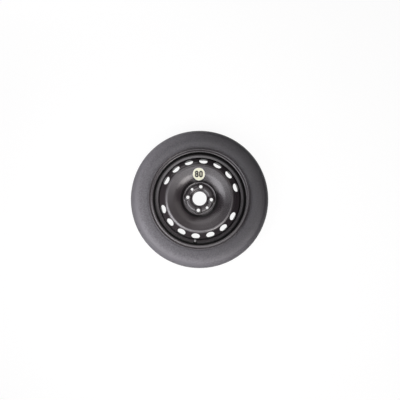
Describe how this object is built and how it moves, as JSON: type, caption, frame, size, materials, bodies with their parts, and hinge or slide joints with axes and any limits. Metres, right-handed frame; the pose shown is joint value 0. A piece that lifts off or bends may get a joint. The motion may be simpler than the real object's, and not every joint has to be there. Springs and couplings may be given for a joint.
{
  "type": "space saver spare wheel",
  "caption": "Narrow temporary spare wheel: black pressed steel disc and drop centre rim with vent holes, slim tyre, snap-in valve with screw cap and a round yellow speed sticker.",
  "frame": {"origin": "centre of the hub bore on the inboard mounting face of the disc", "axes": "+Z along the wheel axis towards the outer face, -Y towards the valve, +X towards a bolt hole"},
  "size_m": [0.577, 0.577, 0.127],
  "materials": {
    "tyre_rubber": "matt black carbon rubber",
    "wheel_paint": "gloss black stove enamel",
    "sticker": "pale yellow film",
    "valve_rubber": "black moulded rubber",
    "brass": "bare turned brass",
    "core_metal": "nickel plated brass",
    "spring_steel": "bright spring wire",
    "seal_rubber": "soft black seal",
    "seal_ring": "red slippery plastic",
    "cap_plastic": "grey moulded plastic"
  },
  "bodies": {
    "wheel": {"tyre": "tyre_rubber", "rim": "wheel_paint", "disc": "wheel_paint", "weld_beads": "wheel_paint", "speed_sticker": "sticker", "valve_rubber": "valve_rubber", "valve_insert": "brass", "core_housing": "core_metal", "core_ring": "seal_ring", "core_spring": "spring_steel"},
    "pin": {"core_pin": "core_metal", "core_cup": "seal_rubber"},
    "washer": {"cap_washer": "seal_rubber"},
    "cap": {"valve_cap": "cap_plastic"}
  },
  "joints": [
    {"name": "pin_press", "type": "slide", "parent": "wheel", "child": "pin", "axis": [0, -0.1908, -0.9816], "range_m": [0, 0.0015], "stiffness_N_per_m": 900, "springref_m": -0.002, "deforming": ["core_spring"]},
    {"name": "cap_lift", "type": "slide", "parent": "wheel", "child": "washer", "axis": [0, 0.1908, 0.9816], "range_m": [0, 0.00475]},
    {"name": "cap_turn", "type": "hinge", "parent": "washer", "child": "cap", "pos_m": [0, -0.17913, -0.00141], "axis": [0, 0.1908, 0.9816], "range_deg": [0, 2160]}
  ],
  "couplings": [
    {"joint": "cap_turn", "follows": "cap_lift", "rad_per_m": 7915.8}
  ]
}
